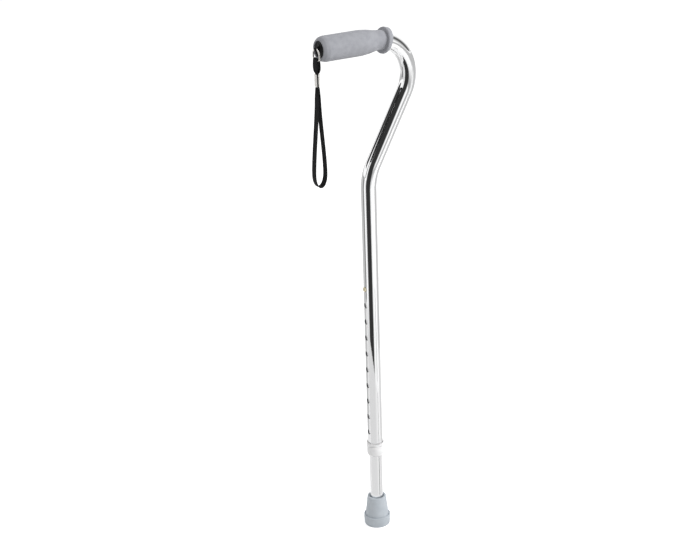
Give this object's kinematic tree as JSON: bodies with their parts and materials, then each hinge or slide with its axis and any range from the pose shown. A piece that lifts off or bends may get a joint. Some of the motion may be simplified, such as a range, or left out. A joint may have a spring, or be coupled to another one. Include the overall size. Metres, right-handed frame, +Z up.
{
  "type": "offset walking cane",
  "caption": "Height-adjustable walking cane with an offset bent neck, foam grip, wrist strap and rubber tip.",
  "frame": {"origin": "centre of the rubber tip's sole, on the floor", "axes": "+Z up along the shaft, +X towards the side that the neck leans out to, -X towards the grip's free end, the strap and the adjustment holes"},
  "size_m": [0.1681, 0.0388, 0.7641],
  "materials": {
    "polished_aluminium": "bright polished and anodised",
    "grip_foam": "fine closed-cell foam, matt",
    "cap_rubber": "satin black",
    "tip_rubber": "smooth matt grey",
    "white_nylon": "slightly translucent white nylon",
    "button_brass": "polished",
    "spring_steel": "plain",
    "nickel_plate": "bright nickel plate",
    "black_webbing": "woven nylon"
  },
  "bodies": {
    "leg": {"lower_tube": "polished_aluminium", "rubber_tip": "tip_rubber", "tip_washer": "spring_steel", "button_spring": "spring_steel"},
    "button": {"snap_button": "button_brass"},
    "handle": {"upper_tube": "polished_aluminium", "foam_grip": "grip_foam", "grip_end_cap": "cap_rubber", "collar_bush": "white_nylon"},
    "locknut": {"lock_ring": "white_nylon"},
    "ring": {"strap_ring": "nickel_plate"},
    "strap": {"wrist_strap": "black_webbing", "strap_crimp": "nickel_plate"}
  },
  "joints": [
    {"name": "height_slide", "type": "slide", "parent": "leg", "child": "handle", "axis": [0, 0, 1], "range_m": [0, 0.2286], "deforming": ["snap_button"]},
    {"name": "button_press", "type": "slide", "parent": "leg", "child": "button", "axis": [1, 0, 0], "range_m": [0, 0.004], "stiffness_N_per_m": 600, "springref_m": -0.002, "deforming": ["button_spring"]},
    {"name": "lock_ring_turn", "type": "hinge", "parent": "handle", "child": "locknut", "pos_m": [0, 0, 0.125], "axis": [0, 0, 1], "range_deg": [-270, 0]},
    {"name": "ring_swing", "type": "hinge", "parent": "handle", "child": "ring", "pos_m": [-0.0768, 0, 0.7487], "axis": [0, 1, 0], "range_deg": [-2, 90]},
    {"name": "strap_swing", "type": "hinge", "parent": "ring", "child": "strap", "pos_m": [-0.0768, 0, 0.7338], "axis": [0, 1, 0], "range_deg": [-5, 90]}
  ]
}
